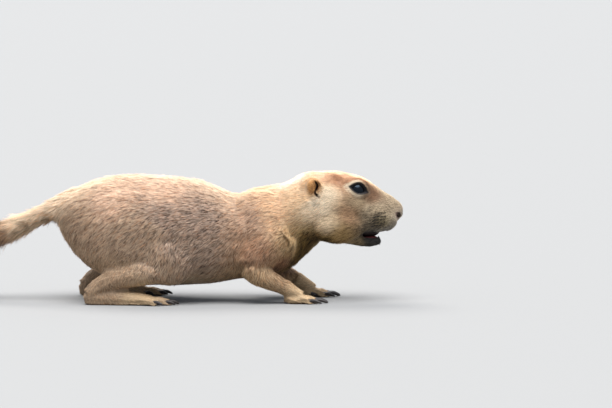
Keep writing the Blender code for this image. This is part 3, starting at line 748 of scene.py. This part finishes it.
def build_skin():
    """The one skin over all the flesh: the solids' shape, smoothed, and sunk by the depth of the coat."""
    form = flesh_form()
    step = form.modifiers.new("skin", "REMESH")
    step.mode = "VOXEL"
    step.voxel_size = VOXEL * MM
    mesh = evaluated(form)
    bpy.data.objects.remove(form)
    points = read_points(mesh)
    body = 1 - blend(30, 50, points[:, 0]) * blend(36, 54, points[:, 2])
    feet = 1 - blend(7, 12, points[:, 2])
    nose = blend(92, 100, points[:, 0])
    soften(mesh, 0.55 + 0.45 * body - 0.4 * feet - 0.2 * nose, 34)
    points, normals = read_points(mesh), read_normals(mesh)
    write_points(mesh, points - normals * coat_depth(points, normals)[:, None])
    soften(mesh, 0.4 * body, 6)
    points = carve_face(read_points(mesh))
    points[:, 2] = np.maximum(points[:, 2], 0.02)
    write_points(mesh, points)
    return thinned(linked("skin", mesh))


def thinned(skin):
    """The skin with fewer triangles, the most where it bends the most."""
    step = skin.modifiers.new("thin", "DECIMATE")
    step.ratio = min(1, SKIN_TRIANGLES / (2 * len(skin.data.polygons)))
    step.use_collapse_triangulate = True
    skin.data = evaluated(skin)
    skin.modifiers.clear()
    skin.data.shade_smooth()
    skin.data.name = "skin"
    return skin


# The markings, which the skin and the coat share
def markings(points):
    """The light and dark hair's colours in linear light, and the share of dark hairs."""
    found = coat_field(points, MARKINGS)
    light, dark, share = linear(found[:, :3]), linear(found[:, 3:6]), found[:, 6]
    ring = (1 - blend(0.8, 2.2, eye_gap(points))) * (1 - 0.75 * blend(84, 88, points[:, 0]))
    return mixed(light, EYE_RING, ring), mixed(dark, EYE_RING * 0.6, ring), share * (1 - 0.8 * ring)


def mouth_hollow(points, normals, tree):
    """1 at points inside the mouth, which see other skin close in front of them."""
    x, y, z = points.T
    found = np.zeros(len(points))
    for i in np.nonzero((x > 82) & (x < 106) & (z > 38) & (z < 54) & (np.abs(y) < 12))[0]:
        hit = tree.ray_cast(Vector(points[i] + normals[i] * 0.25), Vector(normals[i]), 9)
        found[i] = hit[0] is not None
    return found


def skin_colours(skin, tree, whisker_places):
    """The coat's markings, darkened under the hair as painted shade in the gaps between the tufts, and the
    bare places.
    """
    points, normals = read_points(skin.data), read_normals(skin.data)
    light, dark, dark_share = markings(points)
    mix = 0.55 - 0.35 * dark_share[:, None]
    # painted shade: the skin under the coat is darkened to stand for the shade in the gaps between the tufts
    colours = (light * mix + dark * (1 - mix)) * 0.6
    # Painted shade: skin deep in the mouth, which sees other skin close in front, is painted near black; the
    # lips round it get their own dark grey
    lips = spread(mouth_hollow(points, normals, tree), read_edges(skin.data), 5)
    colours = mixed(colours, LIP, blend(0.05, 0.45, lips))
    colours = mixed(colours, MOUTH_SHADE, blend(0.5, 0.9, lips))
    colours = mixed(colours, LID, 1 - blend(-0.5, 0.3, eye_gap(points)))
    # painted shade: the carved ear slit is painted dark
    colours = mixed(colours, EAR_SLIT_SHADE, 1 - blend(0.7, 1.3, slit_gap(points)))
    for side in SIDES.values():
        away = np.linalg.norm((points - mirrored(NOSTRIL, side)) / (1.3, 1, 1), axis=1)
        colours = mixed(colours, NOSE_LEATHER, 1 - blend(2.6, 4.0, away))
        # painted shade: the nostril opening is painted near black
        colours = mixed(colours, NOSTRIL_SHADE_AND_WHISKER_DOTS, 1 - blend(1.7, 2.7, away))
    colours = mixed(colours, HORN, 1 - blend(1.3, 1.6, claw_gap(points)))
    dots = 1 - blend(0.4, 0.8, whisker_gap(points, whisker_places))
    colours = mixed(colours, NOSTRIL_SHADE_AND_WHISKER_DOTS, 0.8 * dots)
    sole = (points[:, 2] < 1.2) & (normals[:, 2] < -0.4)
    return mixed(colours, SOLE, sole * 1.0)


# The coat
def region_of(centres):
    """The name of the coat piece that each place belongs to."""
    x, y, z = centres.T
    side = np.where(y < 0, "right", "left")
    names = np.where(x > -28, "chest_", "flank_")
    names = np.where(x < -72, "rump_", names)
    names = np.char.add(names, side)
    names = np.where((z < 25) & (x > -115), np.char.add("leg_", side), names)
    names = np.where((x - 8) * 0.8 + (z - 78) * 0.6 > 0, np.char.add("neck_", side), names)
    names = np.where((x - 40) * 0.945 + (z - 88) * 0.328 > 0, np.char.add("head_", side), names)
    names = np.where(x > 64, np.char.add("face_", side), names)
    names = np.where(x > 88, "muzzle", names)
    return np.where(x < -128, "tail", names)


def hair_width(length):
    """A tuft's width at its root."""
    return 0.13 + 0.038 * length


def tuft_density(centres, length):
    """How many tufts stand on a square millimetre: enough to cover it, up to a limit."""
    x, _, z = centres.T
    most = 4.2 + 3.2 * blend(20, 40, z) + 7 * blend(45, 70, x) + 12 * (x < -140)
    cover = COVER * (1 + 5 * (1 - blend(-170, -130, x)))
    return np.minimum(cover / (0.5 * length * hair_width(length)), most)


def scatter(points, triangles, density, rng):
    """Roots spread evenly over triangles: which triangle each stands on, and its weights there."""
    a, b, c = points[triangles].transpose(1, 0, 2)
    area = np.linalg.norm(np.cross(b - a, c - a), axis=1) / 2
    share = np.cumsum(area * density)
    marks = np.arange(int(share[-1])) + rng.uniform(0, 1, int(share[-1]))
    chosen = np.searchsorted(share, np.minimum(marks, share[-1] * 0.999999))
    u, v = rng.uniform(0, 1, (2, len(chosen)))
    folded = u + v > 1
    u, v = np.where(folded, 1 - u, u), np.where(folded, 1 - v, v)
    return chosen, np.stack([1 - u - v, u, v], axis=1)


def room_above(points, normals, tree):
    """How far each point is from skin that faces it, as between the lips or behind a knee."""
    most = 25.0
    found = np.full(len(points), most)
    for i, (point, normal) in enumerate(zip(points, normals)):
        hit = tree.ray_cast(Vector(point + normal * 0.25), Vector(normal), most)
        if hit[0] is not None:
            found[i] = hit[3]
    return found


def is_bare(root, normal, room):
    """Places with no hair: the eyes and lid rims, nostrils, inside of the mouth, soles and claws."""
    x, y, z = root.T
    bare = (room < 0.35) | (eye_gap(root) < 0.1) | (slit_gap(root) < 0.9) | (claw_gap(root) < 1.35)
    for side in SIDES.values():
        bare |= np.linalg.norm(root - mirrored(NOSTRIL, side), axis=1) < 2.7
    inside_lips = (x > 84) & (room < 9) & (np.abs(normal[:, 2]) > 0.5) & (z < 54)
    behind_incisors = (x > 93) & (x < 101.5) & (np.abs(y) < 3.5) & (z > 43.2) & (z < 50.5)
    sole = (z < 0.8) & (normal[:, 2] < -0.5)
    return bare | inside_lips | behind_incisors | sole


def clump_leaders(roots, rng):
    """For each root the number of the nearest of a few roots, which its tip leans towards."""
    count = max(1, int(len(roots) / HAIRS_IN_CLUMP))
    leaders = rng.choice(len(roots), count, replace=False)
    tree = kdtree.KDTree(count)
    for leader in leaders:
        tree.insert(Vector(roots[leader]), int(leader))
    tree.balance()
    return np.array([tree.find(Vector(root))[1] for root in roots])


def unwrapped(points, triangles):
    """A flat map of the skin's own shape: a place for each corner of each triangle."""
    used, renamed = np.unique(triangles, return_inverse=True)
    mesh = bpy.data.meshes.new("map")
    mesh.from_pydata((points[used] * MM).tolist(), [], renamed.reshape(-1, 3).tolist())
    obj = linked("map", mesh)
    bpy.context.view_layer.objects.active = obj
    obj.select_set(True)
    bpy.ops.object.mode_set(mode="EDIT")
    bpy.ops.mesh.select_all(action="SELECT")
    bpy.ops.uv.smart_project(angle_limit=math.radians(66), island_margin=0.004)
    bpy.ops.object.mode_set(mode="OBJECT")
    places = np.empty(len(mesh.loops) * 2, np.float32)
    mesh.uv_layers.active.data.foreach_get("uv", places)
    bpy.data.objects.remove(obj)
    return places.reshape(-1, 3, 2)


def tuft_corners(root, normal, way, length, width, lift):
    """Each tuft's corners: three round its root, then its tip."""
    side = np.cross(normal, way) * (width / 2)[:, None]
    sunk = root - normal * np.minimum(0.25, 0.03 + 0.05 * length)[:, None]
    tip = sunk + way * (length * np.cos(lift))[:, None] + normal * (length * np.sin(lift))[:, None]
    crest = sunk + normal * (width * 0.35)[:, None]
    return np.stack([sunk + side, crest, sunk - side, tip], axis=1)


def grown_tufts(root, normal, room, rng):
    """Tufts that follow the lie of the coat, each with small turns of its own, and lean in clumps."""
    way, length, lift = lie_of_coat(root, normal)
    turn = np.radians(rng.normal(0, 4 + 0.8 * length) + ripple(root, 7, 5) * (2 + 1.6 * length))
    side = np.cross(normal, way)
    way = unit(way * np.cos(turn)[:, None] + side * np.sin(turn)[:, None])
    lift = np.maximum(lift + np.radians(rng.normal(0, 2 + 0.4 * length)) + 0.05 * ripple(root, 9, 6), 0.08)
    longest = np.maximum(room * 0.8, SHORTEST_BESIDE_SKIN)
    length = np.minimum(length * rng.uniform(0.72, 1.2, len(root)), longest)
    width = hair_width(length) * rng.uniform(0.75, 1.25, len(root))
    corners = tuft_corners(root, normal, way, length, width, lift)
    leader = clump_leaders(root, rng)
    lean = (corners[leader, -1] - corners[:, -1]) * 0.5
    far = np.linalg.norm(lean, axis=1) / (0.5 * length)
    corners[:, -1] += lean / np.maximum(far, 1)[:, None]
    corners[..., 2] = np.maximum(corners[..., 2], LOWEST)
    return corners, leader


def hair_colours(roots, leader, rng):
    """Root and tip colours: a light or a dark hair, darker at the root, partly the hair's own darker base
    and partly painted shade deep in the coat. A clump's hairs are much alike.
    """
    light, dark, dark_share = markings(roots)
    count = len(roots)
    own, shared = rng.normal(size=count), rng.normal(size=count)[leader]
    tone = 1 + 0.17 * own + 0.10 * shared + 0.05 * ripple(roots, 9, 31)
    rusty = (rng.uniform(size=count) < RUSTY_HAIRS) & (roots[:, 0] < 60)
    light = light * np.where(rusty[:, None], RUST_SHARE, 1)
    own, shared = rng.uniform(size=count), rng.uniform(size=count)[leader]
    is_dark = own * 0.6 + shared * 0.4 < dark_share
    tip = np.where(is_dark[:, None], dark, light) * np.clip(tone, 0.45, 1.6)[:, None]
    # the darker root is partly the hair's own base colour and partly painted shade deep in the coat
    base = dark * ROOT_FROM_DARK + tip * ROOT_FROM_TIP
    return np.stack([base, base, base, tip], axis=1)


def tuft_mesh(name, corners, colours, places, facing):
    """One piece of closed tufts, lit as softly as the skin that they lie on."""
    count, size = corners.shape[:2]
    pattern = np.array([(0, 1, 3), (1, 2, 3), (2, 0, 3), (2, 1, 0)])
    loops = (pattern.ravel() + size * np.arange(count)[:, None]).ravel()
    mesh = bpy.data.meshes.new(name)
    mesh.vertices.add(count * size)
    mesh.vertices.foreach_set("co", to_frame(corners.reshape(-1, 3)).astype(np.float32).ravel())
    mesh.loops.add(len(loops))
    mesh.loops.foreach_set("vertex_index", loops.astype(np.int32))
    mesh.polygons.add(count * len(pattern))
    mesh.polygons.foreach_set("loop_start", np.arange(0, len(loops), 3, dtype=np.int32))
    mesh.update(calc_edges=True)
    mesh.shade_smooth()
    soft = mesh.attributes.new("custom_normal", "FLOAT_VECTOR", "POINT")
    soft.data.foreach_set("vector", facing.reshape(-1).astype(np.float32))
    paint_points(mesh, colours.reshape(-1, 3))
    layer = mesh.uv_layers.new(name="OFBake")
    layer.data.foreach_set("uv", places.reshape(-1, 2)[loops].astype(np.float32).ravel())
    return linked(name, mesh)


def build_coat(skin, tree, whisker_places):
    """The coat in pieces, each with the tufts that stand on its own part of the skin."""
    rng = np.random.default_rng(11)
    points, normals, triangles = read_points(skin.data), read_normals(skin.data), read_triangles(skin.data)
    centres = points[triangles].mean(1)
    regions = region_of(centres)
    space = room_above(points, normals, tree)
    _, length, _ = lie_of_coat(centres, unit(normals[triangles].mean(1)))
    density = tuft_density(centres, length)
    patch = np.array([(0.5, -0.5), (0, -0.5), (-0.5, -0.5), (0, 0.5)]) * PATCH
    pieces = []
    for region in sorted(set(regions)):
        mine = np.nonzero(regions == region)[0]
        chosen, weights = scatter(points, triangles[mine], density[mine], rng)
        weights = weights[..., None]
        around = triangles[mine[chosen]]
        places = (unwrapped(points, triangles[mine])[chosen] * weights).sum(1)
        root = (points[around] * weights).sum(1)
        normal = unit((normals[around] * weights).sum(1))
        room = space[around].min(1)
        kept = ~is_bare(root, normal, room)
        root, normal, room, places = root[kept], normal[kept], room[kept], places[kept]
        corners, leader = grown_tufts(root, normal, room, rng)
        colours = hair_colours(root, leader, rng)
        colours *= 0.25 + 0.75 * blend(0.35, 0.85, whisker_gap(root, whisker_places))[:, None, None]
        facing = unit(corners - corners.mean(1, keepdims=True))
        facing = unit(normal[:, None] * 0.75 + facing * 0.5)
        pieces.append(tuft_mesh("coat_" + region, corners, colours, places[:, None] + patch, facing))
    return pieces


# The eyes, the mouth, the claws and the whiskers
def build_eyes():
    """The eyeballs, and a dark wet rim along the edge of the lids."""
    eye_finish = plain_material("eye", EYE_COLOUR, 0.14, 0.2)
    eye_finish.node_tree.nodes["Principled BSDF"].inputs["Specular Tint"].default_value = EYE_GLINT
    rim_finish = plain_material("lid", LID_RIM_COLOUR, 0.45)
    for name, side in SIDES.items():
        centre = mirrored(EYE, side)
        points, faces = ball(centre, [EYE_RADIUS] * 3, segments=56, rings=36)
        show(new_object("eyeball_" + name, points, faces), eye_finish, "eye", "eye_" + name)
        outline = almond_outline(EYE_OPENING, 30)
        reach = EYE_RADIUS + 0.2
        outward = np.sqrt(np.maximum(reach ** 2 - (outline ** 2).sum(1), 5))
        path = from_almond_plane(outline[:, 0], outline[:, 1], outward, side)
        thick = 0.34 + 0.22 * np.abs(outline[:, 0] / EYE_OPENING[0] * 2) ** 3
        points, faces = tube(path, thick, thick, up=unit(path - centre), count=8, loop=True)
        show(new_object("lid_rim_" + name, points, faces), rim_finish, "nose")


def build_mouth():
    """The tongue, the palate behind it, painted very dark as the shade inside the mouth, and the tips of the
    incisors.
    """
    tongue = new_object("tongue_form", *ball(*TONGUE, segments=32, rings=20))
    show(tongue, plain_material("tongue", TONGUE_COLOUR, 0.4), "tongue", "tongue")
    # painted shade: the palate is a very dark ball that stands for the shade at the back of the mouth
    palate = new_object("palate", *ball(*PALATE, segments=32, rings=20))
    show(palate, plain_material("palate", MOUTH_SHADE * 0.5, 0.5, 0.2), "tongue")
    teeth = []
    for side in SIDES.values():
        for root, tip, half in (UPPER_INCISOR, LOWER_INCISOR):
            root, tip = mirrored(root, side), mirrored(tip, side)
            path = curve([root, (root + tip) / 2 + (0.9, 0, 0), tip], 5)
            widths = half * np.linspace(1, 0.9, len(path))
            teeth.append(tube(path, widths, 1.4 * np.linspace(1, 0.45, len(path)), up=(1, 0, 0), count=12))
    show(new_object("incisors", *joined(teeth)), plain_material("tooth", ENAMEL, 0.3), "tooth")


def build_claws():
    """The claws, over those of the solids."""
    claws = []
    for path in claw_lines():
        radius = np.interp(np.linspace(0, 1, len(path)), (0, 0.4, 0.8, 1), (1.3, 1.15, 0.75, 0.15))
        claws.append(tube(path, radius * 0.92, radius * 1.05, count=12))
    show(new_object("claws", *joined(claws)), plain_material("claw", HORN * 0.7, 0.45, 0.35), "claw")


def build_whiskers(whisker_places):
    """The whiskers, longest at the back of each row, which bend back and droop a little."""
    rng = np.random.default_rng(29)
    whiskers = []
    for place, normal, side, k in whisker_places:
        length = (15 + 6.5 * k) * rng.uniform(0.85, 1.1)
        way = unit(np.array([-0.55, side * 0.95, rng.uniform(-0.42, 0.05)]) + normal * 0.3)
        back = np.array([-0.5, 0, rng.uniform(-0.25, -0.05)])
        t = np.linspace(0, 1, 9)[:, None]
        path = place - normal * 0.4 + way * length * t + back * length * 0.35 * t ** 2
        radius = 0.19 * (1 - 0.8 * t[:, 0])
        whiskers.append(tube(path, radius, radius, count=5))
    finish = plain_material("whisker", WHISKER_COLOUR, 0.6, 0.1)
    show(new_object("whiskers", *joined(whiskers)), finish, "whisker")


# The finishes
def plain_material(name, colour, roughness, shine=0.5):
    """A finish of one colour."""
    made = bpy.data.materials.new(name)
    made.use_nodes = True
    shader = made.node_tree.nodes["Principled BSDF"]
    shader.inputs["Specular IOR Level"].default_value = shine
    shader.inputs["Base Color"].default_value = (*colour, 1)
    shader.inputs["Roughness"].default_value = roughness
    return made


def painted_material(name, roughness):
    """A finish that takes its colour from the mesh's own points."""
    made = plain_material(name, (0.5, 0.4, 0.3), roughness, 0.2)
    nodes, links = made.node_tree.nodes, made.node_tree.links
    source = nodes.new("ShaderNodeAttribute")
    source.attribute_name = "coat"
    links.new(source.outputs["Color"], nodes["Principled BSDF"].inputs["Base Color"])
    return made


def grain_group():
    """Fine pores and wrinkles, as a height."""
    group = bpy.data.node_groups.new("fine_grain", "ShaderNodeTree")
    group.interface.new_socket("Size", in_out="INPUT", socket_type="NodeSocketFloat")
    group.interface.new_socket("Height", in_out="OUTPUT", socket_type="NodeSocketFloat")
    nodes, links = group.nodes, group.links
    given, result = nodes.new("NodeGroupInput"), nodes.new("NodeGroupOutput")
    place, noise = nodes.new("ShaderNodeTexCoord"), nodes.new("ShaderNodeTexNoise")
    noise.inputs["Detail"].default_value = 3
    links.new(place.outputs["Object"], noise.inputs["Vector"])
    links.new(given.outputs["Size"], noise.inputs["Scale"])
    links.new(noise.outputs["Fac"], result.inputs["Height"])
    return group


def skin_material():
    """The skin's painted finish, with a fine grain."""
    made = painted_material("skin", 0.6)
    nodes, links = made.node_tree.nodes, made.node_tree.links
    grain, bump = nodes.new("ShaderNodeGroup"), nodes.new("ShaderNodeBump")
    grain.node_tree = grain_group()
    grain.inputs["Size"].default_value = 1600
    bump.inputs["Strength"].default_value = 0.5
    bump.inputs["Distance"].default_value = 0.0003
    links.new(grain.outputs["Height"], bump.inputs["Height"])
    links.new(bump.outputs["Normal"], nodes["Principled BSDF"].inputs["Normal"])
    return made


# The floor, the light and the camera
def build_stage():
    """A plain pale floor, so wide that it fills the picture."""
    corners, radius = 64, 20
    turns = 2 * math.pi * np.arange(corners) / corners
    points = [(radius * math.cos(turn), radius * math.sin(turn), 0) for turn in turns]
    mesh = bpy.data.meshes.new("floor")
    mesh.from_pydata(points, [], [tuple(range(corners))])
    mesh.materials.append(plain_material("floor", FLOOR_COLOUR, 0.9))
    linked("floor", mesh)


def soft_light(name, place, strength, breadth, colour):
    """Broad even light that comes from the direction of a place, with its breadth in degrees."""
    data = bpy.data.lights.new(name, "SUN")
    data.energy = strength
    data.angle = math.radians(breadth)
    data.color = colour
    lamp = linked(name, data)
    lamp.rotation_euler = Vector(place).to_track_quat("Z", "Y").to_euler()
    lamp.location = place


def build_lights():
    """A broad soft light from above, leaning to the camera's side, and a weaker one from behind."""
    soft_light("key", (0.10, -0.42, 1.39), 6.3, 55, (0.97, 0.98, 1))
    soft_light("back", (-0.30, 0.80, 1.04), 2.6, 35, (1, 0.98, 0.96))
    world = bpy.data.worlds.new("studio")
    world.use_nodes = True
    sky = world.node_tree.nodes["Background"]
    sky.inputs["Color"].default_value = (0.80, 0.88, 1, 1)
    sky.inputs["Strength"].default_value = 0.88
    bpy.context.scene.world = world
    bpy.context.scene.view_settings.view_transform = "Standard"


def build_camera():
    """The camera on the animal's right side, a little above it, with the photo's framing."""
    data = bpy.data.cameras.new("camera")
    data.sensor_width, data.lens = SENSOR, LENS
    camera = linked("camera", data)
    aim = Vector(to_frame((MIDDLE_X, 0, MIDDLE_Z / math.cos(CAMERA_RISE))))
    camera.location = aim + Vector((0, -math.cos(CAMERA_RISE), math.sin(CAMERA_RISE))) * CAMERA_AWAY
    camera.rotation_euler = (aim - camera.location).to_track_quat("-Z", "Y").to_euler()
    bpy.context.scene.camera = camera


skin = build_skin()
tree = search_tree(skin.data)
whisker_places = place_whiskers(tree)
paint_points(skin.data, skin_colours(skin, tree, whisker_places))
flesh = [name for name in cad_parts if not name.startswith("eye") and name != "tongue"]
show(skin, skin_material(), "fur", *flesh)
fur = painted_material("fur", 0.7)
for piece in build_coat(skin, tree, whisker_places):
    show(piece, fur, "tail_fur" if piece.name.endswith("tail") else "fur")
build_eyes()
build_mouth()
build_claws()
build_whiskers(whisker_places)
build_stage()
build_lights()
build_camera()
